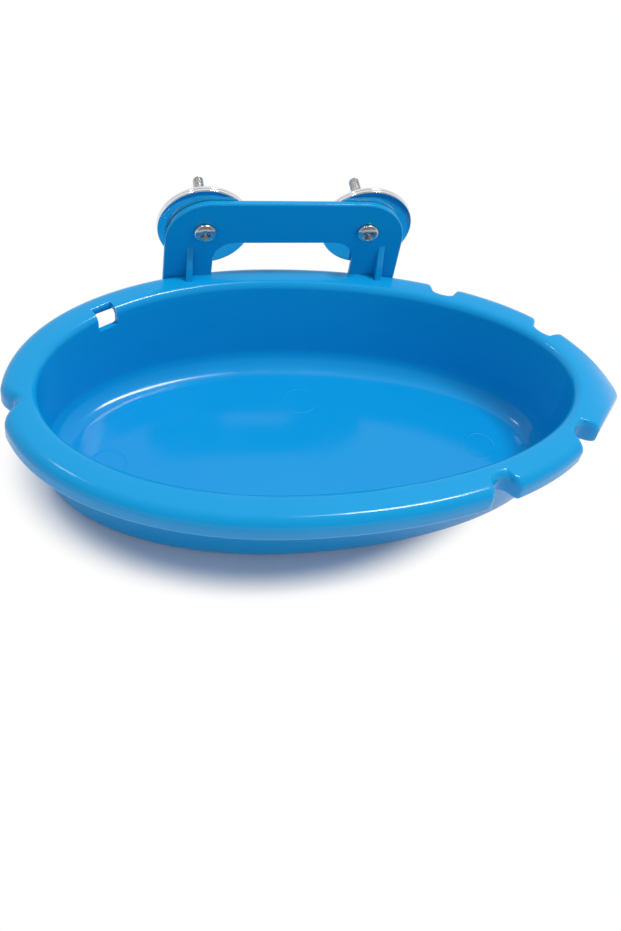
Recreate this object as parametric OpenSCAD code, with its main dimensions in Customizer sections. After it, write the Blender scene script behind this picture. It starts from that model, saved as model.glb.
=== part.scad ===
// Cage bird bath: a leaf-shaped bowl with a clamp bracket on its long side.
// Two screws, four wide washers and two wing nuts clamp the bracket to the bars of a cage.
// The origin is on the underside of the bowl, below the widest section of its opening.
// +X points to the tip of the leaf, +Y to the cage, +Z up. All sizes are in millimetres.

/* [Bowl] */
// Length of the opening from its widest section to the round end
round_end = 84; // [70:1:110]
// Length of the opening from its widest section to the pointed end
pointed_end = 105; // [85:1:140]
// Half the width of the opening
half_width = 49; // [40:1:65]
// Height of the rim's inner edge above the underside
bowl_h = 40; // [32:1:60]
// How far the wall leans in between the rim and the underside, along the sides
side_lean = 6; // [3:0.5:12]
// How far the wall leans in between the rim and the underside, at the two ends
end_lean = 3; // [2:0.5:12]
// How far the top of the wall stands in along the front, where the wall is steeper
front_inset = 2.4; // [0:0.1:3]
// Thickness of the wall, floor, rim and skirt
wall = 2.2; // [1.6:0.1:2.6]
// Radius inside, where the floor meets the wall
floor_r = 9; // [3:0.5:11]
// Radius outside, round the underside
base_r = 4.5; // [1:0.5:7]

/* [Rim] */
// Width of the rim along the front, from the inner wall to the outside of its skirt
front_rim_w = 10.2; // [9.6:0.1:14]
// Width of the rim along the back
back_rim_w = 11.4; // [9.6:0.1:14]
// Width of the rim towards the round end and the pointed end
end_rim_w = 12.4; // [9.6:0.1:16]
// Radius of the rim's inner edge
edge_r = 3.2; // [1:0.1:3.4]
// Radius of the shoulder between the top of the rim and its skirt
shoulder_r = 4.6; // [2:0.1:5]
// Mean fall of the rim's crowned top towards its skirt, in degrees
rim_fall = 8; // [2:0.5:12]
// Height of the skirt, from the rim's inner edge to the skirt's lower edge
skirt_h = 9.3; // [8:0.1:14]
// Angle between the long axis and the normal of each straight side of the tip
tip_angle = 38; // [34:1:46]
// Radius of the tip of the leaf
tip_r = 4; // [2:0.5:8]
// How far the rim droops at the tip of the leaf, below the even rim
tip_drop = 8; // [0:0.5:10]

/* [Notches] */
// Place of the pair of notches beside the tip, as an angle round the opening
tip_notch_at = 23.5; // [18:0.5:30]
// Place of the pair of notches further back, as an angle round the opening
side_notch_at = 52; // [45:0.5:60]
// Place of the notch at the round end, as an angle round the opening
end_notch_at = 183.5; // [175:0.5:185]
// Radius at the root of a notch
notch_r = 4.2; // [3:0.1:6]
// Gap behind the root of a notch, between its skirt and the wall of the bowl
notch_gap = 0.6; // [0.4:0.1:2]
// Depth over which the lips of a notch are rounded
notch_lip = 2.4; // [1:0.1:4]
// Radius at the root of the notch at the round end
end_notch_r = 2; // [1.5:0.1:5]
// Depth of the notch at the round end
end_notch_depth = 5; // [3:0.1:7]
// Depth over which the lips of the notch at the round end are rounded
end_notch_lip = 6; // [1:0.1:7]
// Angle of a notch's sides to the rim, in degrees
notch_side = 70; // [55:1:75]
// Angle of the sides of the notch at the round end to the rim, in degrees
end_notch_side = 55; // [45:1:75]

/* [Wall hole] */
// Place of the hole in the back wall, as an angle round the opening
hole_at = 135; // [120:1:150]
// Width of the hole
hole_w = 7.8; // [5:0.1:9]
// Depth of the hole below the rim's inner edge
hole_h = 6.9; // [5:0.1:9]
// Corner radius of the hole
hole_r = 1; // [0.4:0.1:2]
// Reach of the hole into the top of the rim
hole_reach = 4.5; // [2.5:0.1:6]

/* [Bracket] */
// Distance of the bracket's middle from the widest section of the opening
bracket_x = 5.5; // [-10:0.5:20]
// Distance of the bracket's front face inside the widest part of the skirt
bracket_inset = 5.4; // [3:0.1:6]
// Thickness of the bracket
bracket_t = 2.4; // [1.8:0.1:4]
// Overall width of the bracket
bracket_w = 88.4; // [80:0.2:110]
// Width of each leg
leg_w = 18; // [12:0.5:22]
// Height of the bracket above the rim's inner edge
bracket_h = 33.3; // [28:0.1:50]
// Height of the cross bar
bar_h = 18.4; // [10:0.1:22]
// Radius of the bracket's upper corners
corner_r = 17; // [8:0.5:20]
// Radius between each leg and the cross bar
leg_fillet = 8; // [2:0.5:12]
// Distance between the ribs in front of the legs
rib_spread = 71.6; // [64:0.2:80]
// How far the ribs stand towards the tip from the middle of their legs
rib_shift = 1; // [-2:0.1:2]
// Thickness of each rib
rib_t = 2.4; // [1.2:0.1:3]
// Height of each rib above the rim's inner edge
rib_h = 13.5; // [8:0.5:18]
// Reach of each rib in front of the bracket
rib_reach = 4.4; // [3:0.1:6]

/* [Clamp screws] */
// Distance between the two screws
screw_spacing = 60; // [50:1:70]
// Height of the screws above the rim's inner edge
screw_h = 20.5; // [18:0.1:30]
// Diameter over the thread
screw_d = 4; // [3:0.5:5]
// Length under the head
screw_len = 30; // [25:1:50]
// Chamfer at the end of the thread
screw_chamfer = 0.5; // [0.2:0.1:0.8]
// Diameter of the pan head
head_d = 8; // [6:0.1:10]
// Height of the pan head
head_h = 2.4; // [2:0.1:4]
// Width of the arms of the cross recess
cross_w = 1.2; // [0.6:0.1:1.4]
// Length of the cross recess from end to end
cross_len = 4.8; // [3:0.1:5.2]
// Depth of the cross recess
cross_depth = 1.6; // [1:0.1:2]

/* [Washers and wing nuts] */
// Diameter of a washer
washer_d = 34; // [24:0.5:40]
// Thickness of a washer
washer_t = 1.2; // [0.8:0.1:2]
// Diameter of a wing nut's boss at its seat
boss_d = 9; // [8:0.1:12]
// Diameter of a wing nut's boss at its top
boss_top_d = 7; // [6.5:0.1:10]
// Height of a wing nut's boss
boss_h = 5; // [4:0.1:8]
// Span of the wings
wing_span = 22; // [18:0.5:30]
// Height of the wings above the seat
wing_h = 9.5; // [7:0.1:14]
// Thickness of the wings
wing_t = 1.8; // [1.2:0.1:3]
// Radius of the lobe at the end of each wing
lobe_r = 3; // [2:0.1:4]
// Height above the seat where the wings leave the boss
wing_foot = 1.2; // [0.6:0.1:2]
// Height of the wings beside the boss
wing_neck = 3.3; // [2:0.1:3.3]

/* [Clearances] */
// Radial clearance of a screw in the bracket and in its washers
screw_play = 0.1; // [0.05:0.01:0.1]
// Radial clearance of a wing nut on its screw
thread_play = 0.05; // [0.02:0.01:0.1]
// Gap between pieces that lie face to face
seat_gap = 0.05; // [0:0.01:0.1]

/* [Hidden] */

plastic = [0.12, 0.62, 0.88];
steel = [0.78, 0.79, 0.8];

// Facets of a round bore, pin or turned form
round_fn = 72;
// Segments of an arc in a drawn outline, of a wide fillet and of a narrow one
arc_steps = 10;
wide_steps = 4;
narrow_steps = 3;
// Degrees between sections of the bowl, along its plain stretches and beside the tip
section_step = 5;
tip_step = 1.6;
// How fast the rim widens towards the two ends
rim_growth = 2;
// Share of the tip's droop that the lower edge of the skirt follows
foot_share = 0.7;
// Overlap that makes two shapes one solid, and that carries a cut clear of a face
merge = 0.6;

// Angles at which the lobe of a wing runs into the wing's lower and upper edge
lobe_from = -60;
lobe_to = 150;

// Lower ends of the legs stop this far above the lower edge of the skirt
leg_stop = 2;
// Part of the rim's thickness that the foot of a rib sinks into
rib_sink = 1.2;

bracket_y = half_width + back_rim_w - bracket_inset;
bracket_back = bracket_y + bracket_t;
screw_z = bowl_h + screw_h;
screw_r = screw_d / 2;
front_washer_y = bracket_back + seat_gap;
rear_washer_y = front_washer_y + washer_t + seat_gap;
wing_nut_y = rear_washer_y + washer_t + seat_gap;

// Plan of the opening: two half ellipses that share their widest section
function half_length(t) = cos(t) > 0 ? pointed_end : round_end;
function opening(t) = [half_length(t) * cos(t), half_width * sin(t)];
function outward(t) = let (v = [half_width * cos(t), half_length(t) * sin(t)]) v / norm(v);
function along(t) = [-outward(t).y, outward(t).x];
function beside(t, offset) = opening(t) + offset * outward(t);

// Width of the rim before the tip is drawn out and the notches are cut
rim_w = (front_rim_w + back_rim_w) / 2;
function even_reach(t) =
    rim_w
    + (back_rim_w - rim_w) * sin(t) * abs(sin(t))
    + (end_rim_w - rim_w) * pow(abs(cos(t)), rim_growth);

// The straight sides of the tip touch the even rim where its normal lies at tip_angle
tip_touch = atan(tan(tip_angle) * half_width / pointed_end);
tip_normal = [cos(tip_angle), sin(tip_angle)];
tip_x = beside(tip_touch, even_reach(tip_touch)) * tip_normal / cos(tip_angle);
tip_centre = [tip_x - tip_r / cos(tip_angle), 0];
tip_arc_x = tip_centre.x + tip_r * cos(tip_angle);

function fold(t) = t > 180 ? 360 - t : t;
function side_reach(t) = ([tip_x, 0] - opening(t)) * tip_normal / (outward(t) * tip_normal);
function arc_reach(t) =
    let (d = tip_centre - opening(t), m = d * outward(t))
    m + sqrt(max(0, m * m - d * d + tip_r * tip_r));

// Distance from the opening to the outside of the skirt, before the notches are cut
function reach(t) =
    let (f = fold(t))
    f >= tip_touch ? even_reach(t) :
    beside(f, side_reach(f)).x > tip_arc_x ? arc_reach(f) : max(even_reach(t), side_reach(f));

// Offset of a notch's root: the wall, the gap behind the notch and the skirt itself
notch_offset = max(2 * wall + notch_gap, edge_r + 2 * merge);

// Notches: each has a round root and two straight sides, and is widened by a margin
notches = [tip_notch_at, side_notch_at, end_notch_at, 360 - side_notch_at, 360 - tip_notch_at];
function root_r(place) = place == end_notch_at ? end_notch_r : notch_r;
function lip(place) = place == end_notch_at ? end_notch_lip : notch_lip;
function side_angle(place) = place == end_notch_at ? end_notch_side : notch_side;
function root_offset(place) =
    place == end_notch_at ? max(notch_offset, reach(place) - end_notch_depth) : notch_offset;
function across(t, place) = abs((beside(t, rim_w) - beside(place, rim_w)) * along(place));
function facing(t, place) = outward(t) * outward(place) > 0;
function rise(d, r, a) =
    d < r * sin(a) ? r - sqrt(r * r - d * d) : r * (1 - cos(a)) + (d - r * sin(a)) * tan(a);
function blend(a, b, k) = let (h = max(0, 1 - abs(a - b) / k)) min(a, b) - h * h * k / 4;
function notched(t, plain, margin, i = 0) =
    i == len(notches) ? plain :
    let (p = notches[i], rest = notched(t, plain, margin, i + 1))
    facing(t, p)
        ? blend(rest, root_offset(p) - margin + rise(across(t, p), root_r(p) + margin, side_angle(p)), lip(p))
        : rest;
function skirt_outside(t) = notched(t, reach(t), 0);
function skirt_inside(t) = notched(t, reach(t) - wall, wall);

// Heights over the plan
fall = tan(rim_fall);
tip_growth = reach(0) - even_reach(0);
function droop(t) = tip_drop * max(0, reach(t) - even_reach(t)) / tip_growth;
function inset(t) = front_inset * pow(max(0, -sin(t)), 2);
function edge(t) = edge_r - inset(t);
function rim_top(t, offset) =
    let (run = max(0, offset - edge(t)), full = reach(t) - edge(t))
    bowl_h - (fall * full + droop(t)) * pow(run / full, 2);
function skirt_foot(t) = bowl_h - skirt_h - fall * (reach(t) - rim_w) - foot_share * droop(t);
function lean(t) = end_lean + (side_lean - end_lean) * pow(abs(sin(t)), rim_growth);
function lean_angle(t) = atan((lean(t) - inset(t)) / bowl_h);
function inner_wall(t, z) = -inset(t) - (lean(t) - inset(t)) * (bowl_h - z) / bowl_h;

function arc(centre, r, from, to, steps) = [
    for (i = [0:steps])
        let (a = from + (to - from) * i / steps)
        centre + r * [cos(a), sin(a)]
];

// Section of the bowl at one place: [offset from the opening, height], from underside to floor
function section(t) =
    let (
        outside = skirt_outside(t),
        inside = skirt_inside(t),
        inner = edge(t),
        shoulder = min(shoulder_r, outside - inner - merge),
        shoulder_z = rim_top(t, outside - shoulder) - shoulder,
        under = wall - inset(t),
        under_z = rim_top(t, under) - wall,
        slant = lean_angle(t),
        corner = inner_wall(t, base_r) + wall - base_r,
        floor_corner = inner_wall(t, wall + floor_r) - floor_r
    )
    concat(
        arc([corner, base_r], base_r, -90, -slant, narrow_steps),
        [
            [inner_wall(t, under_z - wall / 2) + wall, under_z - wall / 2],
            [under, under_z],
            [(under + inside) / 2, rim_top(t, (under + inside) / 2) - wall],
            [inside, rim_top(t, inside) - wall],
            [inside, skirt_foot(t)],
            [outside, skirt_foot(t)],
        ],
        arc([outside - shoulder, shoulder_z], shoulder, 0, 90 - rim_fall, wide_steps),
        [[(inner + outside - shoulder) / 2, rim_top(t, (inner + outside - shoulder) / 2)]],
        arc([inner, bowl_h - edge_r], edge_r, 90, 180 - slant, narrow_steps),
        arc([floor_corner, wall + floor_r], floor_r, -slant, -90, wide_steps)
    );

// Places of the sections: close together in a notch, wider apart between the notches.
// The stops are shares of a notch's half width, closest where its sides are steep.
half_stops = [0.2, 0.38, 0.5, 0.6, 0.68, 0.76, 0.87, 1];
notch_stops = concat([for (i = [len(half_stops) - 1:-1:0]) -half_stops[i]], [0], half_stops);
// Degrees of turn for a millimetre along the rim, measured over the degree around a place
function turn_per_mm(t) = 1 / norm(beside(t + 0.5, rim_w) - beside(t - 0.5, rim_w));
// Half the width of a notch inside its skirt, where its lips begin
function half_mouth(t) =
    let (r = root_r(t) + wall, a = side_angle(t), depth = reach(t) - root_offset(t) + lip(t))
    r * sin(a) + max(0, depth - r * (1 - cos(a))) / tan(a);
function notch_turn(t) = half_mouth(t) * turn_per_mm(t);
function notch_sections(t) = [for (s = notch_stops) t + s * notch_turn(t)];
function between(from, to, step) =
    let (n = ceil((to - from) / step))
    [for (i = [1:n - 1]) from + (to - from) * i / n];
function after_notch(i) = notches[i] + notch_turn(notches[i]);
function before_notch(i) = notches[i] - notch_turn(notches[i]);

last_notch = len(notches) - 1;
places = concat(
    [0],
    between(0, before_notch(0), tip_step),
    [
        for (i = [0:last_notch])
            each concat(
                notch_sections(notches[i]),
                i < last_notch ? between(after_notch(i), before_notch(i + 1), section_step) : []
            )
    ],
    between(after_notch(last_notch), 360, tip_step)
);

// Closed skin of the bowl through all its sections
module bowl_shell() {
    rings = len(places);
    ring = len(section(0));
    points = [
        for (t = places)
            for (p = section(t))
                let (q = beside(t, p[0]))
                [q.x, q.y, p[1]]
    ];
    sides = [
        for (i = [0:rings - 1])
            for (k = [0:ring - 2])
                let (a = i * ring + k, b = (i + 1) % rings * ring + k)
                each [[a, a + 1, b + 1], [a, b + 1, b]]
    ];
    underside = [for (i = [0:rings - 1]) i * ring];
    floor_face = [for (i = [rings - 1:-1:0]) i * ring + ring - 1];
    polyhedron(points, concat(sides, [underside, floor_face]));
}

// Outline of the bracket, seen from the front with z measured from the rim's inner edge
module bracket_outline() {
    half = bracket_w / 2;
    gap = half - leg_w;
    foot = leg_stop - skirt_h;
    bar_z = bracket_h - bar_h;
    right = concat(
        arc([gap - leg_fillet, bar_z - leg_fillet], leg_fillet, 90, 0, arc_steps),
        [[gap, foot], [half, foot]],
        arc([half - corner_r, bracket_h - corner_r], corner_r, 0, 90, arc_steps)
    );
    left = [for (i = [len(right) - 1:-1:0]) [-right[i].x, right[i].y]];
    polygon(concat(right, left));
}

module bracket_plate() {
    translate([bracket_x, bracket_back, bowl_h])
        rotate([90, 0, 0])
            linear_extrude(bracket_t)
                bracket_outline();
}

// Triangular rib that stiffens a leg, standing on the rim in front of it
module rib(side) {
    inside_plate = bracket_y + bracket_t / 2;
    foot_y = bracket_y - rib_reach;
    leg_x = bracket_x + rib_shift + side * rib_spread / 2;
    translate([leg_x - rib_t / 2, 0, bowl_h])
        rotate([90, 0, 90])
            linear_extrude(rib_t)
                polygon([
                    [inside_plate, rib_h],
                    [bracket_y, rib_h],
                    [foot_y, -merge],
                    [foot_y, -rib_sink],
                    [inside_plate, -shoulder_r],
                ]);
}

// Places what is drawn along +Z on the axis of one screw, running along +Y from a given depth
module along_y(side, y) {
    translate([bracket_x + side * screw_spacing / 2, y, screw_z])
        rotate([-90, 0, 0])
            children();
}

module screw_hole(side) {
    along_y(side, bracket_y - merge)
        cylinder(h = bracket_t + 2 * merge, r = screw_r + screw_play, $fn = round_fn);
}

// Hole through the back wall, open at the top along the rim's inner edge
module wall_hole() {
    half = hole_w / 2;
    core = half - hole_r;
    inside = -hole_h * tan(lean_angle(hole_at)) - merge;
    outline = concat(
        [[half, merge], [-half, merge]],
        arc([-core, hole_r - hole_h], hole_r, 180, 270, wide_steps),
        arc([core, hole_r - hole_h], hole_r, 270, 360, wide_steps)
    );
    place = beside(hole_at, inside);
    translate([place.x, place.y, bowl_h])
        rotate([0, 0, atan2(outward(hole_at).y, outward(hole_at).x)])
            rotate([90, 0, 90])
                linear_extrude(hole_reach - inside)
                    polygon(outline);
}

module basin() {
    color(plastic)
        difference() {
            union() {
                bowl_shell();
                bracket_plate();
                rib(-1);
                rib(1);
            }
            screw_hole(-1);
            screw_hole(1);
            wall_hole();
        }
}

// Pan-head screw with a cross recess, its head on the bowl side of the bracket
module screw(side) {
    crown = (head_h * head_h + head_d * head_d / 4) / (2 * head_h);
    rim_angle = asin(head_d / 2 / crown);
    head_y = bracket_y - seat_gap;
    head_profile = concat(
        [[0, 0], [head_d / 2, 0]],
        [for (i = [1:arc_steps])
            let (a = rim_angle * (1 - i / arc_steps))
            [crown * sin(a), head_h - crown * (1 - cos(a))]]
    );
    color(steel)
        difference() {
            union() {
                along_y(side, head_y)
                    rotate([180, 0, 0])
                        rotate_extrude($fn = round_fn)
                            polygon(head_profile);
                along_y(side, head_y)
                    cylinder(h = screw_len - screw_chamfer, r = screw_r, $fn = round_fn);
                along_y(side, head_y + screw_len - screw_chamfer)
                    cylinder(h = screw_chamfer, r1 = screw_r, r2 = screw_r - screw_chamfer, $fn = round_fn);
            }
            along_y(side, head_y - head_h - merge)
                for (turn = [0, 90])
                    rotate([0, 0, turn])
                        translate([-cross_len / 2, -cross_w / 2, 0])
                            cube([cross_len, cross_w, cross_depth + merge]);
        }
}

module washer(side, y) {
    color(steel)
        along_y(side, y)
            difference() {
                cylinder(h = washer_t, r = washer_d / 2, $fn = round_fn);
                translate([0, 0, -merge])
                    cylinder(h = washer_t + 2 * merge, r = screw_r + screw_play, $fn = round_fn);
            }
}

// Outline of one wing beside the boss: [distance from the screw's axis, height above the seat]
module wing_outline() {
    start = (screw_r + boss_top_d / 2) / 2;
    lobe = [wing_span / 2 - lobe_r, wing_h - lobe_r];
    polygon(concat(
        [[start, wing_foot]],
        arc(lobe, lobe_r, lobe_from, lobe_to, arc_steps),
        [[start, wing_foot + wing_neck]]
    ));
}

module wing_nut(side) {
    color(steel)
        along_y(side, wing_nut_y)
            difference() {
                union() {
                    cylinder(h = boss_h, r1 = boss_d / 2, r2 = boss_top_d / 2, $fn = round_fn);
                    for (turn = [0, 180])
                        rotate([0, 0, turn])
                            translate([0, wing_t / 2, 0])
                                rotate([90, 0, 0])
                                    linear_extrude(wing_t)
                                        wing_outline();
                }
                translate([0, 0, -merge])
                    cylinder(h = boss_h + 2 * merge, r = screw_r + thread_play, $fn = round_fn);
            }
}

module screw_left() {
    screw(-1);
}

module screw_right() {
    screw(1);
}

module front_washer_left() {
    washer(-1, front_washer_y);
}

module front_washer_right() {
    washer(1, front_washer_y);
}

module rear_washer_left() {
    washer(-1, rear_washer_y);
}

module rear_washer_right() {
    washer(1, rear_washer_y);
}

module wing_nut_left() {
    wing_nut(-1);
}

module wing_nut_right() {
    wing_nut(1);
}

basin();
screw_left();
screw_right();
front_washer_left();
front_washer_right();
rear_washer_left();
rear_washer_right();
wing_nut_left();
wing_nut_right();
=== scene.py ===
"""Looks of the cage bird bath: a glossy moulded basin, threaded screws, polished washers and wing nuts.

The pieces repeat the CAD's sizes in millimetres, with the rounded edges, thread and finish that the
CAD leaves out. A mesh is turned into metres when it is made. The basin is made in the CAD's frame, and
the clamp pieces are moved to their places in it.
"""

import math

import bmesh
import bpy
import numpy as np
from mathutils import Matrix, Vector

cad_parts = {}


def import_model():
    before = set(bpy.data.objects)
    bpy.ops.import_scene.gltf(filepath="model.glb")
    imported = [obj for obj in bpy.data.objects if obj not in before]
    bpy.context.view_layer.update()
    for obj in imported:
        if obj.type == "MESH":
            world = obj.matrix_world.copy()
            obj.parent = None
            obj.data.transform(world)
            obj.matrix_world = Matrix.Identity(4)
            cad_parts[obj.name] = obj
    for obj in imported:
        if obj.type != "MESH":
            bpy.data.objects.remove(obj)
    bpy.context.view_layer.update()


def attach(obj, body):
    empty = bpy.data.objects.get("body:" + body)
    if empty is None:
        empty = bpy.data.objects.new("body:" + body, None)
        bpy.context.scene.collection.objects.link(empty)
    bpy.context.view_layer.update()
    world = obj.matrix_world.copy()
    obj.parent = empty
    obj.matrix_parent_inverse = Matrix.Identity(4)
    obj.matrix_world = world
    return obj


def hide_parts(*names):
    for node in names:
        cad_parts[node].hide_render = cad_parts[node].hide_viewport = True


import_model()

MM = 0.001

# Basin
ROUND_END, POINTED_END, HALF_WIDTH = 84.0, 105.0, 49.0
BOWL_H, SIDE_LEAN, END_LEAN, FRONT_INSET = 40.0, 6.0, 3.0, 2.4
WALL, FLOOR_R, BASE_R = 2.2, 9.0, 4.5
FRONT_RIM_W, BACK_RIM_W, END_RIM_W = 10.2, 11.4, 12.4
RIM_W = (FRONT_RIM_W + BACK_RIM_W) / 2
EDGE_R, SHOULDER_R, SKIRT_H = 3.2, 4.6, 9.3
RIM_FALL = math.radians(8)
TIP_ANGLE, TIP_R, TIP_DROP, FOOT_SHARE = math.radians(38), 4.0, 8.0, 0.7
NOTCH_R, NOTCH_GAP, NOTCH_SIDE, NOTCH_LIP = 4.2, 0.6, math.radians(70), 2.4
NOTCH_OFFSET = 2 * WALL + NOTCH_GAP
END_NOTCH_R, END_NOTCH_DEPTH, END_NOTCH_SIDE, END_NOTCH_LIP = 2.0, 5.0, math.radians(55), 6.0
NOTCHES_AT = [math.radians(a) for a in (23.5, 52.0, 308.0, 336.5)]
END_NOTCH_AT = math.radians(183.5)
HOLE_AT, HOLE_W, HOLE_H, HOLE_R, HOLE_REACH = math.radians(135), 7.8, 6.9, 1.0, 4.5
# Rounding over the end of the hole, and how far a cutter stands clear of what it cuts
HOLE_EDGE_R, CUT_CLEAR = 1.2, 2.5
# Rounding of the skirt's foot, roundings under the rim, and the share of the hollow each takes at most
FOOT_R, UNDER_R, UNDER_SHARE = 0.7, 1.2, 0.4
# Flat margins inside the shoulder and inside the floor's fillet
SHOULDER_MARGIN, FLOOR_MARGIN = 0.6, 0.6
# Rings on the floor, and how deep they are sunk into it
MARKS_AT, MARK_R, MARK_W, MARK_H = [(-60.0, -3.0), (13.0, 24.5), (79.0, -0.5)], 6.0, 0.5, 0.1
MARK_SINK = 0.3
# Distance between sections of the basin along the skirt, and points at which the skirt is measured
STATION_STEP, SKIRT_POINTS = 0.8, 40001
# Facets across the top of the rim
RIM_STEPS = 7
# Faces larger than this many square millimetres are the flat ones
FLAT_AREA = 50.0

# Bracket
BRACKET_X, BRACKET_INSET, BRACKET_T = 5.5, 5.4, 2.4
BRACKET_Y = HALF_WIDTH + BACK_RIM_W - BRACKET_INSET
BRACKET_W, LEG_W, BRACKET_H, BAR_H = 88.4, 18.0, 33.3, 18.4
CORNER_R, LEG_FILLET, LEG_STOP = 17.0, 8.0, 2.0
RIB_SPREAD, RIB_SHIFT, RIB_T, RIB_H, RIB_REACH = 71.6, 1.0, 2.4, 13.5, 4.4
# Upper and lower end of a rib's front edge, from the rim's height
RIB_FRONT_TOP, RIB_FRONT_FOOT = -0.6, -1.2
# Roundings of edges, and the angle in degrees from which an edge is rounded
BRACKET_BEVEL, RIB_BEVEL, WING_BEVEL, BEVEL_FROM = 0.6, 0.35, 0.5, 30

# Clamp
SIDES = {"left": -1, "right": 1}
SCREW_SPACING, SCREW_H, SCREW_R, SCREW_LEN, PITCH = 60.0, 20.5, 2.0, 30.0, 0.7
SCREW_Z = BOWL_H + SCREW_H
HEAD_R, HEAD_H, HEAD_EDGE = 4.0, 2.4, 0.6
# Angles in radians between which the head's dome runs, and the power that flattens it
DOME_START, DOME_END, DOME_POWER = 0.02, 1.45, 0.8
# Turn of the cross in each head, in degrees
RECESS_TURNS = {"left": -10, "right": 50}
# Depth of the thread, where it starts under the head, the length over which it deepens, and the share
# of a turn that its flanks take
THREAD_DEPTH, THREAD_START, THREAD_FADE, FLANK_SHARE = 0.4, 1.2, 0.8, 0.7
HOLE_PLAY, SEAT_GAP = 0.1, 0.05
WASHER_R, WASHER_T = 17.0, 1.2
# Radii of the rows of points on the faces of a washer
WASHER_ROWS = (8.0, 14.0)
BOSS_R, BOSS_TOP_R, BOSS_H = 4.5, 3.5, 5.0
# Bore of a wing nut, its countersink at both ends, and the radius that closes the boss on the axis
BORE_R, COUNTERSINK_R, COUNTERSINK_H, AXIS_R = 2.05, 2.4, 0.35, 0.01
WING_SPAN, WING_H, WING_T, LOBE_R = 22.0, 9.5, 1.8, 3.0
# Where a wing leaves the boss, as distance from the axis and two heights, and its lobe's arc in degrees
WING_ROOT, WING_FOOT, WING_NECK = 2.75, 1.2, 4.5
LOBE_START, LOBE_END = -60, 150
# Size of the voxels from which a wing nut is cast, and how its surface is softened
VOXEL, SOFTEN_FACTOR, SOFTEN_ROUNDS = 0.16, 0.5, 8

# Where each piece of the clamp starts along y
HEAD_Y = BRACKET_Y - SEAT_GAP
FRONT_WASHER_Y = BRACKET_Y + BRACKET_T + SEAT_GAP
REAR_WASHER_Y = FRONT_WASHER_Y + WASHER_T + SEAT_GAP
NUT_Y = REAR_WASHER_Y + WASHER_T + SEAT_GAP

# Facets round a bore or boss, a screw, a washer and a mark on the floor
BORE_STEPS, SCREW_STEPS, WASHER_STEPS, MARK_STEPS = 64, 40, 128, 96

# Values between which most of a noise lies
NOISE_LOW, NOISE_HIGH = 0.3, 0.7

# Room: how bright it looks in front of the basin, and the light it adds to the lamps
ROOM_FRONT, ROOM_LIGHT = 0.25, 0.5
# Directions along y between which the room turns from dim to white
ROOM_DIM_Y, ROOM_WHITE_Y = -0.6, 0.3
# Ellipse of the floor that shows the shadow, in metres, and where it has turned white. Beyond it the floor
# glows white, painted light that covers the outer part of the shadow
SHADOW_X, SHADOW_A, SHADOW_B, SHADOW_END = -0.006, 0.0715, 0.0488, 1.3
FLOOR_HALF = 6.0
# Lamps: the point they face, and azimuth and elevation in degrees, distance, size and power of each
LIT_POINT = Vector((0.01, 0.0, 0.03))
LAMPS = {"key": (90, 69, 2.2, (0.26, 0.55), 26.0), "fill": (-77, 63, 2.2, (0.2, 0.2), 4.0)}
# Camera: place in metres, and yaw, downward pitch and roll in degrees
CAMERA_AT, CAMERA_TURN = (-0.07415, -0.27257, 0.34605), (16.7, 46.5, 11.0)
# Focal length, row of the optical axis and height of the picture in pixels, and the sensor in mm
FOCAL_PX, AXIS_ROW, PICTURE_ROWS, SENSOR = 1207.3, 370, 931, 36.0


# Plan of the basin

def dot(a, b):
    return np.sum(a * b, axis=-1)


def half_length(t):
    return np.where(np.cos(t) > 0, POINTED_END, ROUND_END)


def opening(t):
    return np.stack([half_length(t) * np.cos(t), HALF_WIDTH * np.sin(t)], -1)


def outward(t):
    v = np.stack([HALF_WIDTH * np.cos(t), half_length(t) * np.sin(t)], -1)
    return v / np.linalg.norm(v, axis=-1, keepdims=True)


def beside(t, offset):
    return opening(t) + np.asarray(offset)[..., None] * outward(t)


def even_reach(t):
    """Width of the rim before the tip is drawn out and the notches are cut."""
    side = (BACK_RIM_W - RIM_W) * np.sin(t) * np.abs(np.sin(t))
    return RIM_W + side + (END_RIM_W - RIM_W) * np.cos(t) ** 2


TIP_TOUCH = math.atan(math.tan(TIP_ANGLE) * HALF_WIDTH / POINTED_END)
TIP_NORMAL = np.array([math.cos(TIP_ANGLE), math.sin(TIP_ANGLE)])
TIP_X = float(dot(beside(TIP_TOUCH, even_reach(TIP_TOUCH)), TIP_NORMAL)) / math.cos(TIP_ANGLE)
TIP_CENTRE = np.array([TIP_X - TIP_R / math.cos(TIP_ANGLE), 0.0])
TIP_ARC_X = TIP_CENTRE[0] + TIP_R * math.cos(TIP_ANGLE)


def reach(t):
    """Distance from the opening to the outside of the skirt, before the notches are cut."""
    f = np.where(t > np.pi, 2 * np.pi - t, t)
    side = dot([TIP_X, 0.0] - opening(f), TIP_NORMAL) / dot(outward(f), TIP_NORMAL)
    d = TIP_CENTRE - opening(f)
    m = dot(d, outward(f))
    arc = m + np.sqrt(np.maximum(0, m * m - dot(d, d) + TIP_R**2))
    on_arc = beside(f, side)[..., 0] > TIP_ARC_X
    drawn_out = np.where(on_arc, arc, np.maximum(even_reach(t), side))
    return np.where(f >= TIP_TOUCH, even_reach(t), drawn_out)


def rise(d, r, angle):
    """How far a notch's outline lies outside its root, at a distance d from its middle."""
    round_root = r - np.sqrt(np.maximum(0, r * r - d * d))
    side = r * (1 - math.cos(angle)) + (d - r * math.sin(angle)) * math.tan(angle)
    return np.where(d < r * math.sin(angle), round_root, side)


def blend(a, b, k):
    """The lower of two values, rounded off where they differ by less than k."""
    h = np.maximum(0, 1 - np.abs(a - b) / k)
    return np.minimum(a, b) - h * h * k / 4


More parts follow.
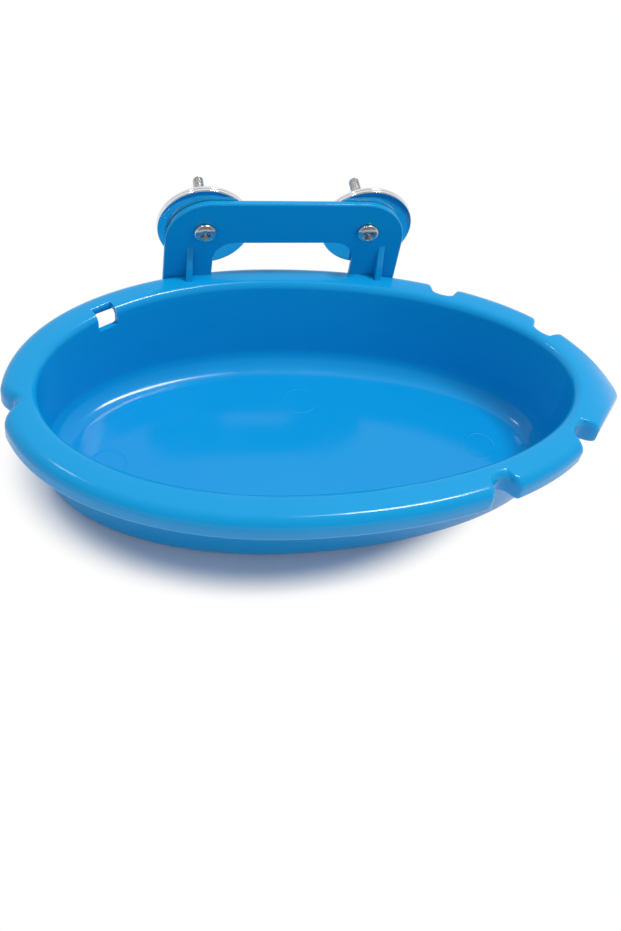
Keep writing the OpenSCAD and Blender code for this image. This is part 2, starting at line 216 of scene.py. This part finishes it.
def notches():
    """Place, root radius, root offset, side angle and lip of each notch."""
    plain = [(at, NOTCH_R, NOTCH_OFFSET, NOTCH_SIDE, NOTCH_LIP) for at in NOTCHES_AT]
    end_root = float(reach(np.array(END_NOTCH_AT))) - END_NOTCH_DEPTH
    return [*plain, (END_NOTCH_AT, END_NOTCH_R, end_root, END_NOTCH_SIDE, END_NOTCH_LIP)]


def notched(t, outline, margin):
    """Cuts the notches, each widened by a margin, into an outline round the basin."""
    for at, r, root, side, lip in notches():
        place = np.array(at)
        along = np.array([-outward(place)[1], outward(place)[0]])
        across = np.abs(dot(beside(t, RIM_W) - beside(place, RIM_W), along))
        cut = blend(outline, root - margin + rise(across, r + margin, side), lip)
        outline = np.where(dot(outward(t), outward(place)) > 0, cut, outline)
    return outline


def skirt_outside(t):
    return notched(t, reach(t), 0)


def skirt_inside(t):
    return notched(t, reach(t) - WALL, WALL)


# Heights of the basin over its plan

FALL = math.tan(RIM_FALL)
TIP_GROWTH = float(reach(np.array(0.0)) - even_reach(np.array(0.0)))


def droop(t):
    return TIP_DROP * np.maximum(0, reach(t) - even_reach(t)) / TIP_GROWTH


def inset(t):
    """How far the top of the wall stands in along the front."""
    return FRONT_INSET * np.maximum(0, -np.sin(t)) ** 2


def edge(t):
    return EDGE_R - inset(t)


def rim_top(t, offset):
    full = reach(t) - edge(t)
    run = np.maximum(0, offset - edge(t))
    return BOWL_H - (FALL * full + droop(t)) * (run / full) ** 2


def rim_tilt(t, offset):
    """Angle at which the rim's top falls."""
    full = reach(t) - edge(t)
    return np.arctan(2 * (FALL * full + droop(t)) * np.maximum(0, offset - edge(t)) / full**2)


def skirt_foot(t):
    return BOWL_H - SKIRT_H - FALL * (reach(t) - RIM_W) - FOOT_SHARE * droop(t)


def lean(t):
    return END_LEAN + (SIDE_LEAN - END_LEAN) * np.sin(t) ** 2


def inner_wall(t, z):
    return -inset(t) - (lean(t) - inset(t)) * (BOWL_H - z) / BOWL_H


# Rows of section points, one row of [offset, height] per station

def row(offset, z):
    return np.stack(np.broadcast_arrays(offset, z), -1)


def arc_rows(offset, z, r, start, end, steps):
    """Points of an arc, its two ends included."""
    angles = [start + (end - start) * i / steps for i in range(steps + 1)]
    return [row(offset + r * np.cos(a), z + r * np.sin(a)) for a in angles]


def line_rows(a, b, steps):
    """Points between two rows, both ends left out."""
    return [a + (b - a) * i / steps for i in range(1, steps)]


def corner_rows(a, corner, b, steps):
    """Points of a smooth curve that rounds a corner, its two ends included."""
    shares = [i / steps for i in range(steps + 1)]
    return [a * (1 - s) ** 2 + corner * 2 * s * (1 - s) + b * s**2 for s in shares]


def section_rows(t):
    """Section of the basin at every station, from the underside round the skirt to the floor."""
    outside, inside, inner = skirt_outside(t), skirt_inside(t), edge(t)
    foot = skirt_foot(t)
    slant = np.arctan((lean(t) - inset(t)) / BOWL_H)
    wall_top = WALL - inset(t)
    round_in = np.minimum(UNDER_R, UNDER_SHARE * (inside - wall_top))

    def under(offset):
        return row(offset, rim_top(t, offset) - WALL)

    base = arc_rows(inner_wall(t, BASE_R) + WALL - BASE_R, BASE_R, BASE_R, -np.pi / 2, -slant, 6)
    wall_z = rim_top(t, wall_top) - WALL - round_in
    wall_end = row(inner_wall(t, wall_z) + WALL, wall_z)
    rim_start, rim_end = under(wall_top + round_in), under(inside - round_in)
    skirt_top = row(inside, rim_top(t, inside) - WALL - round_in)
    foot_in = arc_rows(inside + FOOT_R, foot + FOOT_R, FOOT_R, np.pi, 1.5 * np.pi, 3)
    foot_out = arc_rows(outside - FOOT_R, foot + FOOT_R, FOOT_R, -np.pi / 2, 0, 3)

    r = np.minimum(SHOULDER_R, outside - inner - SHOULDER_MARGIN)
    tilt = rim_tilt(t, outside - r)
    top_end = outside - r + r * np.sin(tilt)
    shoulder = arc_rows(outside - r, rim_top(t, top_end) - r * np.cos(tilt), r, 0, np.pi / 2 - tilt, 12)
    top = [top_end + (inner - top_end) * i / RIM_STEPS for i in range(1, RIM_STEPS)]

    lip = arc_rows(inner, BOWL_H - EDGE_R, EDGE_R, np.pi / 2, np.pi - slant, 10)
    floor_start = inner_wall(t, WALL + FLOOR_R) - FLOOR_R
    floor_arc = arc_rows(floor_start, WALL + FLOOR_R, FLOOR_R, -slant, -np.pi / 2, 14)
    return [
        *base,
        *line_rows(base[-1], wall_end, 6),
        *corner_rows(wall_end, row(wall_top, wall_z + round_in), rim_start, 4),
        *[under(wall_top + round_in + (inside - 2 * round_in - wall_top) * s) for s in (0.25, 0.5, 0.75)],
        *corner_rows(rim_end, under(inside), skirt_top, 4),
        *line_rows(skirt_top, foot_in[0], 3),
        *foot_in,
        *foot_out,
        *line_rows(foot_out[-1], shoulder[0], 4),
        *shoulder,
        *[row(o, rim_top(t, o)) for o in top],
        *lip,
        *line_rows(lip[-1], floor_arc[0], 10),
        *floor_arc,
        row(floor_start - FLOOR_MARGIN, WALL),
    ]


def stations(spacing):
    """Angles round the opening, evenly spaced along the outside of the skirt."""
    t = np.linspace(0, 2 * np.pi, SKIRT_POINTS)
    steps = np.linalg.norm(np.diff(beside(t, skirt_outside(t)), axis=0), axis=1)
    run = np.concatenate([[0], np.cumsum(steps)])
    count = int(run[-1] / spacing)
    return np.interp(np.arange(count) / count * run[-1], run, t)


# Mesh building

def make_mesh(name, points, faces):
    """Closed mesh from points in millimetres, with its faces turned outwards."""
    mesh = bpy.data.meshes.new(name)
    mesh.from_pydata([tuple(p) for p in np.asarray(points, float) * MM], [], faces)
    b = bmesh.new()
    b.from_mesh(mesh)
    bmesh.ops.recalc_face_normals(b, faces=b.faces)
    b.to_mesh(mesh)
    b.free()
    mesh.update()
    return mesh


def make_object(name, mesh):
    obj = bpy.data.objects.new(name, mesh)
    bpy.context.scene.collection.objects.link(obj)
    return obj


def ring_faces(rings, ring):
    """Quads of a grid of rings, closed round each ring."""
    return [
        (i * ring + k, i * ring + (k + 1) % ring, (i + 1) * ring + (k + 1) % ring, (i + 1) * ring + k)
        for i in range(rings - 1)
        for k in range(ring)
    ]


def extruded(name, outline, low, high):
    """Outline in x and y, extruded along Z between two heights."""
    n = len(outline)
    points = [(x, y, z) for z in (low, high) for x, y in outline]
    faces = [tuple(range(n)), tuple(range(n, 2 * n)), *ring_faces(2, n)]
    return make_mesh(name, points, faces)


def prism(name, outline, depth, bevel, segments):
    """Outline in x and y, extruded along +Z, with its edges rounded."""
    mesh = extruded(name, outline, 0, depth)
    b = bmesh.new()
    b.from_mesh(mesh)
    sharp = [e for e in b.edges if e.calc_face_angle() > math.radians(BEVEL_FROM)]
    bmesh.ops.bevel(
        b, geom=sharp, offset=bevel * MM, segments=segments, profile=0.5, affect="EDGES", clamp_overlap=True
    )
    b.to_mesh(mesh)
    b.free()
    return mesh


def turned(profile, segments, shape=None):
    """Points and faces of [radius, z] rows turned round +Z. shape(angle, r, z) may change the radii."""
    profile = np.asarray(profile, float)
    angle = np.linspace(0, 2 * np.pi, segments, endpoint=False)
    z = np.repeat(profile[:, 1:2], segments, axis=1)
    r = np.repeat(profile[:, 0:1], segments, axis=1)
    if shape is not None:
        r = shape(angle[None, :], r, z)
    points = np.stack([r * np.cos(angle), r * np.sin(angle), z], -1).reshape(-1, 3)
    return points, ring_faces(len(profile), segments)


def turned_solid(name, profile, segments, shape=None):
    """Object turned round +Z, closed with a flat face at both ends of its profile."""
    points, faces = turned(profile, segments, shape)
    n = len(points)
    faces += [tuple(range(segments)), tuple(range(n - segments, n))]
    return make_object(name, make_mesh(name, points, faces))


def turned_ring(name, profile, segments):
    """Object turned round +Z with a hole in its middle: its profile is a closed loop."""
    points, faces = turned(profile, segments)
    last = len(points) - segments
    faces += [(k, (k + 1) % segments, last + (k + 1) % segments, last + k) for k in range(segments)]
    return make_object(name, make_mesh(name, points, faces))


def boolean(obj, others, operation):
    """Joins the other objects to obj, or cuts them out of it, and removes them."""
    for other in others:
        modifier = obj.modifiers.new(operation, "BOOLEAN")
        modifier.operation = operation
        modifier.solver = "EXACT"
        modifier.object = other
    apply_modifiers(obj)
    for other in others:
        bpy.data.objects.remove(other)


def apply_modifiers(obj):
    graph = bpy.context.evaluated_depsgraph_get()
    mesh = bpy.data.meshes.new_from_object(obj.evaluated_get(graph))
    obj.modifiers.clear()
    obj.data = mesh


def smooth(obj, degrees):
    """Smooth shading, with edges sharper than the given angle left crisp."""
    obj.data.shade_smooth()
    obj.data.set_sharp_from_angle(angle=math.radians(degrees))


def turn_to_y(x, y, z):
    """Placement that lays a form's +Z along +Y, with its origin at a point in millimetres."""
    return Matrix.Translation(Vector((x, y, z)) * MM) @ Matrix.Rotation(-math.pi / 2, 4, "X")


# Basin

def bowl():
    t = stations(STATION_STEP)
    rows = section_rows(t)
    points = [np.concatenate([beside(t, r[..., 0]), r[..., 1:2]], axis=1) for r in rows]
    n = len(t)
    last = (len(rows) - 1) * n
    faces = ring_faces(len(rows), n)
    faces += [tuple(range(n)), tuple(range(last, last + n))]
    return make_object("basin_shell", make_mesh("basin_shell", np.concatenate(points), faces))


def arc_points(centre, r, start, end, steps):
    angles = np.radians(np.linspace(start, end, steps + 1))
    return [(centre[0] + r * math.cos(a), centre[1] + r * math.sin(a)) for a in angles]


def bracket():
    half = BRACKET_W / 2
    gap = half - LEG_W
    bar_z = BRACKET_H - BAR_H
    foot = LEG_STOP - SKIRT_H
    right = [
        *arc_points((gap - LEG_FILLET, bar_z - LEG_FILLET), LEG_FILLET, 90, 0, 14),
        (gap, foot),
        (half, foot),
        *arc_points((half - CORNER_R, BRACKET_H - CORNER_R), CORNER_R, 0, 90, 24),
    ]
    outline = right + [(-x, y) for x, y in reversed(right)]
    obj = make_object("bracket_plate", prism("bracket_plate", outline, BRACKET_T, BRACKET_BEVEL, 4))
    obj.data.transform(
        Matrix.Translation(Vector((BRACKET_X, BRACKET_Y + BRACKET_T, BOWL_H)) * MM)
        @ Matrix.Rotation(math.pi / 2, 4, "X")
    )
    return obj


def rib(side):
    outline = [
        (BRACKET_Y + BRACKET_T / 2, RIB_H),
        (BRACKET_Y, RIB_H),
        (BRACKET_Y - RIB_REACH, RIB_FRONT_TOP),
        (BRACKET_Y - RIB_REACH, RIB_FRONT_FOOT),
        (BRACKET_Y + BRACKET_T / 2, -SHOULDER_R),
    ]
    obj = make_object("rib", prism("rib", outline, RIB_T, RIB_BEVEL, 3))
    x = BRACKET_X + RIB_SHIFT + side * RIB_SPREAD / 2 - RIB_T / 2
    obj.data.transform(
        Matrix.Translation(Vector((x, 0, BOWL_H)) * MM)
        @ Matrix.Rotation(math.pi / 2, 4, "Z")
        @ Matrix.Rotation(math.pi / 2, 4, "X")
    )
    return obj


def screw_hole(side):
    profile = [(SCREW_R + HOLE_PLAY, z) for z in (-CUT_CLEAR, BRACKET_T + CUT_CLEAR)]
    obj = turned_solid("hole", profile, BORE_STEPS)
    obj.data.transform(turn_to_y(BRACKET_X + side * SCREW_SPACING / 2, BRACKET_Y, SCREW_Z))
    return obj


def hole_placement():
    """Placement at the hole in the wall: +X points outwards from the opening, at the rim's height."""
    place, out = opening(np.array(HOLE_AT)), outward(np.array(HOLE_AT))
    turn = Matrix.Rotation(math.atan2(out[1], out[0]), 4, "Z")
    return Matrix.Translation(Vector((place[0], place[1], BOWL_H)) * MM) @ turn


def wall_hole():
    """Cutter of the hole through the back wall, open at the top along the rim's inner edge."""
    half = HOLE_W / 2
    core = half - HOLE_R
    outline = [
        (half, CUT_CLEAR),
        (-half, CUT_CLEAR),
        *arc_points((-core, HOLE_R - HOLE_H), HOLE_R, 180, 270, 8),
        *arc_points((core, HOLE_R - HOLE_H), HOLE_R, 270, 360, 8),
    ]
    obj = make_object("hole", extruded("hole", outline, -CUT_CLEAR, HOLE_REACH))
    obj.data.transform(
        hole_placement()
        @ Matrix.Rotation(math.pi / 2, 4, "Z")
        @ Matrix.Rotation(math.pi / 2, 4, "X")
    )
    return obj


def hole_edge():
    """Cutter that rounds the top of the rim over the end of the hole."""
    end = HOLE_REACH + HOLE_EDGE_R
    z = float(rim_top(np.array(HOLE_AT), end)) - BOWL_H - HOLE_EDGE_R
    start = HOLE_REACH - CUT_CLEAR
    outline = [
        (start, z),
        *arc_points((end, z), HOLE_EDGE_R, 180, 90, 8),
        (end, CUT_CLEAR),
        (start, CUT_CLEAR),
    ]
    obj = make_object("hole_edge", extruded("hole_edge", outline, -HOLE_W / 2, HOLE_W / 2))
    obj.data.transform(hole_placement() @ Matrix.Rotation(math.pi / 2, 4, "X"))
    return obj


def floor_mark(x, y):
    """Faint raised ring on the floor, left by an ejector of the mould."""
    inner = [(-MARK_W, -MARK_SINK), (-MARK_W, 0.0), (-MARK_W / 4, MARK_H)]
    profile = inner + [(-r, z) for r, z in reversed(inner)]
    obj = turned_ring("mark", [(MARK_R + r, WALL + z) for r, z in profile], MARK_STEPS)
    obj.data.transform(Matrix.Translation(Vector((x, y, 0)) * MM))
    return obj


def basin():
    obj = bowl()
    boolean(obj, [bracket(), rib(-1), rib(1), *(floor_mark(x, y) for x, y in MARKS_AT)], "UNION")
    boolean(obj, [screw_hole(-1), screw_hole(1), wall_hole(), hole_edge()], "DIFFERENCE")
    obj.name = obj.data.name = "bath_basin"
    smooth(obj, 35)
    for face in obj.data.polygons:
        if face.area > FLAT_AREA * MM**2:
            face.use_smooth = False
    return obj


# Clamp pieces, each made along +Z from its own origin

def thread(angle, r, z):
    """Right-hand thread on the shank, running out under the head and towards the point."""
    phase = np.mod(z / PITCH - angle / (2 * np.pi), 1)
    crest = np.clip((1 - np.abs(2 * phase - 1)) / FLANK_SHARE, 0, 1)
    depth = THREAD_DEPTH * np.clip((z - THREAD_START) / THREAD_FADE, 0, 1) * (1 - crest)
    return np.where(z > THREAD_START, np.minimum(r, SCREW_R - depth), r)


def cross_recess():
    """Tapered cross, sunk into the top of a screw's head."""

    def cross(length, width):
        a, b = length / 2, width / 2
        arm = [(a, -b), (a, b), (b, b)]
        turns = [(1, 0), (0, 1), (-1, 0), (0, -1)]
        return [(x * c - y * s, x * s + y * c) for c, s in turns for x, y in arm]

    # Height, length and width of the cross at each level
    levels = [
        (-HEAD_H - 0.6, 5.6, 1.7),
        (-HEAD_H, 5.0, 1.5),
        (-HEAD_H + 1.2, 3.0, 1.1),
        (-HEAD_H + 1.9, 1.3, 0.7),
    ]
    points = [(x, y, z) for z, length, width in levels for x, y in cross(length, width)]
    count = len(points)
    n = count // len(levels)
    faces = [tuple(range(n)), tuple(range(count - n, count)), *ring_faces(len(levels), n)]
    return make_object("recess", make_mesh("recess", points, faces))


def screw(name, turn):
    crown = HEAD_H - HEAD_EDGE
    angles = np.linspace(DOME_START, DOME_END, 16)
    dome = [(HEAD_R * math.sin(a), -HEAD_EDGE - crown * math.cos(a) ** DOME_POWER) for a in angles]
    brim = [
        (HEAD_R, -HEAD_EDGE), (HEAD_R, -0.15), (HEAD_R - 0.1, -0.02), (HEAD_R - 0.25, 0.0),
        (SCREW_R + 0.3, 0.0), (SCREW_R, 0.12),
    ]
    shank = [(SCREW_R, z) for z in np.arange(0.5, SCREW_LEN - 0.9, PITCH / 8)]
    point = [
        (SCREW_R - 0.15, SCREW_LEN - 0.6), (SCREW_R - 0.4, SCREW_LEN - 0.25),
        (SCREW_R - 0.6, SCREW_LEN - 0.08), (SCREW_R - 0.85, SCREW_LEN),
    ]
    obj = turned_solid(name, dome + brim + shank + point, SCREW_STEPS, thread)
    recess = cross_recess()
    recess.data.transform(Matrix.Rotation(math.radians(turn), 4, "Z"))
    boolean(obj, [recess], "DIFFERENCE")
    smooth(obj, 40)
    return obj


def washer(name):
    bore = SCREW_R + HOLE_PLAY
    profile = [
        (bore, 0.15), (bore + 0.05, 0.05), (bore + 0.15, 0.0),
        *((r, 0.0) for r in WASHER_ROWS),
        (WASHER_R - 0.4, 0.0), (WASHER_R - 0.18, 0.06), (WASHER_R - 0.05, 0.2), (WASHER_R, 0.42),
        (WASHER_R, WASHER_T - 0.15), (WASHER_R - 0.05, WASHER_T - 0.05), (WASHER_R - 0.15, WASHER_T),
        *((r, WASHER_T) for r in reversed(WASHER_ROWS)),
        (bore + 0.15, WASHER_T), (bore + 0.05, WASHER_T - 0.05), (bore, WASHER_T - 0.15),
    ]
    obj = turned_ring(name, profile, WASHER_STEPS)
    smooth(obj, 35)
    return obj


def wing_nut(name):
    boss = [
        (AXIS_R, 0.0), (BOSS_R - 0.3, 0.0), (BOSS_R - 0.05, 0.15), (BOSS_R, 0.4),
        (BOSS_TOP_R + 0.05, BOSS_H - 0.4), (BOSS_TOP_R - 0.1, BOSS_H - 0.1),
        (BOSS_TOP_R - 0.4, BOSS_H), (AXIS_R, BOSS_H),
    ]
    obj = turned_solid(name, boss, BORE_STEPS)
    lobe = (WING_SPAN / 2 - LOBE_R, WING_H - LOBE_R)
    tip = arc_points(lobe, LOBE_R, LOBE_START, LOBE_END, 24)
    outline = [(WING_ROOT, WING_FOOT), *tip, (WING_ROOT, WING_NECK)]
    wings = []
    for turn in (0, math.pi):
        wing = make_object("wing", prism("wing", outline, WING_T, WING_BEVEL, 3))
        wing.data.transform(
            Matrix.Rotation(turn, 4, "Z")
            @ Matrix.Translation((0, WING_T / 2 * MM, 0))
            @ Matrix.Rotation(math.pi / 2, 4, "X")
        )
        wings.append(wing)
    boolean(obj, wings, "UNION")
    remesh = obj.modifiers.new("cast", "REMESH")
    remesh.mode = "VOXEL"
    remesh.voxel_size = VOXEL * MM
    soften = obj.modifiers.new("soften", "SMOOTH")
    soften.factor = SOFTEN_FACTOR
    soften.iterations = SOFTEN_ROUNDS
    apply_modifiers(obj)
    lower = [(COUNTERSINK_R, -CUT_CLEAR), (COUNTERSINK_R, 0.0), (BORE_R, COUNTERSINK_H)]
    upper = [(r, BOSS_H - z) for r, z in reversed(lower)]
    boolean(obj, [turned_solid("bore", lower + upper, BORE_STEPS)], "DIFFERENCE")
    smooth(obj, 40)
    return obj


# Materials

def fill_inputs(tree, node, inputs):
    """Sets a node's inputs, and links those that are given a socket."""
    for key, value in inputs.items():
        if isinstance(value, bpy.types.NodeSocket):
            tree.links.new(value, node.inputs[key])
        else:
            node.inputs[key].default_value = value


def adder(tree):
    """Helper that adds a node to a tree, with its settings and inputs."""

    def add(kind, inputs=None, **settings):
        node = tree.nodes.new(kind)
        for key, value in settings.items():
            setattr(node, key, value)
        fill_inputs(tree, node, inputs or {})
        return node

    return add


def material(name):
    """New node material. Returns it with its tree, shader and the helper that adds a node."""
    mat = bpy.data.materials.new(name)
    mat.use_nodes = True
    tree = mat.node_tree
    return mat, tree, tree.nodes["Principled BSDF"], adder(tree)


def noise(add, coords, scale, detail, low=0.0, high=1.0):
    """Noise spread between two values, as a socket."""
    n = add("ShaderNodeTexNoise", {"Vector": coords, "Scale": scale, "Detail": detail})
    spread = {"From Min": NOISE_LOW, "From Max": NOISE_HIGH, "To Min": low, "To Max": high}
    return add("ShaderNodeMapRange", {"Value": n.outputs["Fac"], **spread}).outputs["Result"]


def tint(add, factor, low, high):
    """Colour between two others, as a socket."""
    colours = {"Factor": factor, "A": (*low, 1), "B": (*high, 1)}
    return add("ShaderNodeMix", colours, data_type="RGBA").outputs["Result"]


def bump(add, coords, scale, detail, strength, distance, below=None):
    """Normal of a bumpy surface, as a socket. It may lie on another one, below it."""
    n = add("ShaderNodeTexNoise", {"Vector": coords, "Scale": scale, "Detail": detail})
    inputs = {"Height": n.outputs["Fac"], "Strength": strength, "Distance": distance}
    if below is not None:
        inputs["Normal"] = below
    return add("ShaderNodeBump", inputs).outputs["Normal"]


def plastic_material():
    mat, tree, shader, add = material("blue_plastic")
    coords = add("ShaderNodeTexCoord").outputs["Object"]
    cloud = noise(add, coords, 14.0, 3.0)
    wave = bump(add, coords, 45.0, 1.0, 0.05, 0.0003)
    fill_inputs(tree, shader, {
        "Base Color": tint(add, cloud, (0.003, 0.33, 0.715), (0.005, 0.35, 0.74)),
        "Roughness": noise(add, coords, 60.0, 4.0, 0.1, 0.17),
        "IOR": 1.34,
        "Normal": bump(add, coords, 900.0, 2.0, 0.04, 0.00005, wave),
    })
    return mat


def polished_material():
    mat, tree, shader, add = material("polished_steel")
    coords = add("ShaderNodeTexCoord").outputs["Object"]
    cloud = noise(add, coords, 90.0, 3.0)
    fill_inputs(tree, shader, {
        "Metallic": 1.0,
        "Base Color": tint(add, cloud, (0.72, 0.73, 0.75), (0.82, 0.83, 0.85)),
        "Roughness": noise(add, coords, 220.0, 4.0, 0.06, 0.16),
        "Normal": bump(add, coords, 120.0, 1.0, 0.15, 0.0006),
    })
    return mat


def plated_material():
    mat, tree, shader, add = material("plated_steel")
    coords = add("ShaderNodeTexCoord").outputs["Object"]
    cloud = noise(add, coords, 260.0, 4.0)
    fill_inputs(tree, shader, {
        "Metallic": 1.0,
        "Base Color": tint(add, cloud, (0.50, 0.49, 0.47), (0.70, 0.69, 0.67)),
        "Roughness": noise(add, coords, 400.0, 4.0, 0.2, 0.36),
        "Normal": bump(add, coords, 1400.0, 2.0, 0.15, 0.0001),
    })
    return mat


MATERIALS = {
    "blue_plastic": plastic_material(),
    "polished_steel": polished_material(),
    "plated_steel": plated_material(),
}


def hand_in(obj, node, body, slot):
    """Gives a piece its finish and puts it in place of a CAD node."""
    obj.data.materials.clear()
    obj.data.materials.append(MATERIALS[slot])
    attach(obj, body)
    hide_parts(node)


hand_in(basin(), "basin", "bath", "blue_plastic")
for side_name, side in SIDES.items():
    axis_x = BRACKET_X + side * SCREW_SPACING / 2
    pieces = [
        ("screw", screw(f"bath_screw_{side_name}", RECESS_TURNS[side_name]), HEAD_Y, "plated_steel"),
        ("front_washer", washer(f"bath_front_washer_{side_name}"), FRONT_WASHER_Y, "polished_steel"),
        ("rear_washer", washer(f"bath_rear_washer_{side_name}"), REAR_WASHER_Y, "polished_steel"),
        ("wing_nut", wing_nut(f"bath_wing_nut_{side_name}"), NUT_Y, "plated_steel"),
    ]
    for kind, obj, y, slot in pieces:
        obj.matrix_world = turn_to_y(axis_x, y, SCREW_Z)
        hand_in(obj, f"{kind}_{side_name}", f"{side_name}_{kind}", slot)


# Floor, light and camera

def seen(add):
    """One for rays that show the background, straight, mirrored or through glass, and the rays' path."""
    path = add("ShaderNodeLightPath")
    either = path.outputs["Is Camera Ray"]
    for name in ("Is Glossy Ray", "Is Transmission Ray"):
        either = add("ShaderNodeMath", {0: either, 1: path.outputs[name]}, operation="MAXIMUM").outputs[0]
    return either, path


def floor():
    """Pale floor that takes the basin's shadow and glows white beyond it. Its blue-grey tint is painted
    light: the blue cast of light thrown off the basin into its shadow.
    """
    mesh = bpy.data.meshes.new("floor")
    corners = [(x * FLOOR_HALF, y * FLOOR_HALF, 0) for x, y in ((-1, -1), (1, -1), (1, 1), (-1, 1))]
    mesh.from_pydata(corners, [], [(0, 1, 2, 3)])
    obj = make_object("floor", mesh)
    mat, tree, shader, add = material("pale_floor")
    coords = add("ShaderNodeTexCoord").outputs["Object"]
    # Blue-grey tint: painted blue light, standing in for light thrown off the blue basin into its shadow
    fill_inputs(tree, shader, {
        "Base Color": tint(add, noise(add, coords, 30.0, 3.0), (0.74, 0.82, 0.91), (0.78, 0.86, 0.95)),
        "Roughness": 0.9,
        "Specular IOR Level": 0.0,
    })

    # Distance from the middle of the ellipse, which is one on its outline
    ellipse = {"Location": (-SHADOW_X / SHADOW_A, 0, 0), "Scale": (1 / SHADOW_A, 1 / SHADOW_B, 0)}
    scaled = add("ShaderNodeMapping", {"Vector": coords, **ellipse})
    distance = add("ShaderNodeVectorMath", {0: scaled.outputs["Vector"]}, operation="LENGTH")
    beyond = add(
        "ShaderNodeMapRange",
        {"Value": distance.outputs["Value"], "From Min": 1.0, "From Max": SHADOW_END},
        interpolation_type="SMOOTHSTEP",
    )
    # Beyond the ellipse the floor glows white for camera, mirrored and refracted rays: painted light that
    # hides the outer part of the basin's shadow
    share = add("ShaderNodeMath", {0: beyond.outputs["Result"], 1: seen(add)[0]}, operation="MULTIPLY")
    white = add("ShaderNodeEmission")
    mix = add("ShaderNodeMixShader", {0: share.outputs[0], 1: shader.outputs[0], 2: white.outputs[0]})
    tree.links.new(mix.outputs[0], tree.nodes["Material Output"].inputs["Surface"])
    mesh.materials.append(mat)


def world():
    """White background with an even light. The room that the basin mirrors is darker in front of it."""
    scene_world = bpy.data.worlds.new("studio")
    bpy.context.scene.world = scene_world
    scene_world.use_nodes = True
    tree = scene_world.node_tree
    add = adder(tree)
    coords = add("ShaderNodeTexCoord").outputs["Generated"]
    direction = add("ShaderNodeSeparateXYZ", {0: coords}).outputs["Y"]
    spread = {"From Min": ROOM_DIM_Y, "From Max": ROOM_WHITE_Y, "To Min": ROOM_FRONT, "To Max": 1.0}
    room = add("ShaderNodeMapRange", {"Value": direction, **spread}).outputs["Result"]
    background_seen, path = seen(add)

    # Inputs 0, 2 and 3 of a mix are its factor and its two values
    shown = add("ShaderNodeMix", {0: path.outputs["Is Glossy Ray"], 2: 1.0, 3: room}).outputs[0]
    strength = add("ShaderNodeMix", {0: background_seen, 2: ROOM_LIGHT, 3: shown}).outputs[0]
    fill_inputs(tree, tree.nodes["Background"], {"Color": (1, 1, 1, 1), "Strength": strength})


def area_light(name, azimuth, elevation, distance, size, power):
    """Soft box that faces the basin. Azimuth 0 is behind the bracket, and 90 beyond the tip."""
    data = bpy.data.lights.new(name, "AREA")
    data.shape = "RECTANGLE"
    data.size, data.size_y = size
    data.energy = power
    obj = make_object(name, data)
    a, e = math.radians(azimuth), math.radians(elevation)
    towards = Vector((math.cos(e) * math.sin(a), math.cos(e) * math.cos(a), math.sin(e)))
    obj.location = LIT_POINT + towards * distance
    obj.rotation_euler = (-towards).to_track_quat("-Z", "Y").to_euler()


def camera():
    data = bpy.data.cameras.new("camera")
    data.sensor_fit = "VERTICAL"
    data.sensor_height = SENSOR
    data.lens = FOCAL_PX * SENSOR / PICTURE_ROWS
    data.shift_y = (AXIS_ROW - PICTURE_ROWS / 2) / PICTURE_ROWS
    obj = make_object("camera", data)
    yaw, pitch, roll = (math.radians(a) for a in CAMERA_TURN)
    ahead = Vector((math.sin(yaw) * math.cos(pitch), math.cos(yaw) * math.cos(pitch), -math.sin(pitch)))
    level = Vector((math.cos(yaw), -math.sin(yaw), 0))
    above = level.cross(ahead)
    right = math.cos(roll) * level + math.sin(roll) * above
    up = math.cos(roll) * above - math.sin(roll) * level
    turn = Matrix((right, up, -ahead)).transposed().to_4x4()
    obj.matrix_world = Matrix.Translation(CAMERA_AT) @ turn
    bpy.context.scene.camera = obj


floor()
world()
for lamp, values in LAMPS.items():
    area_light(lamp, *values)
camera()

bpy.context.scene.view_settings.view_transform = "Standard"
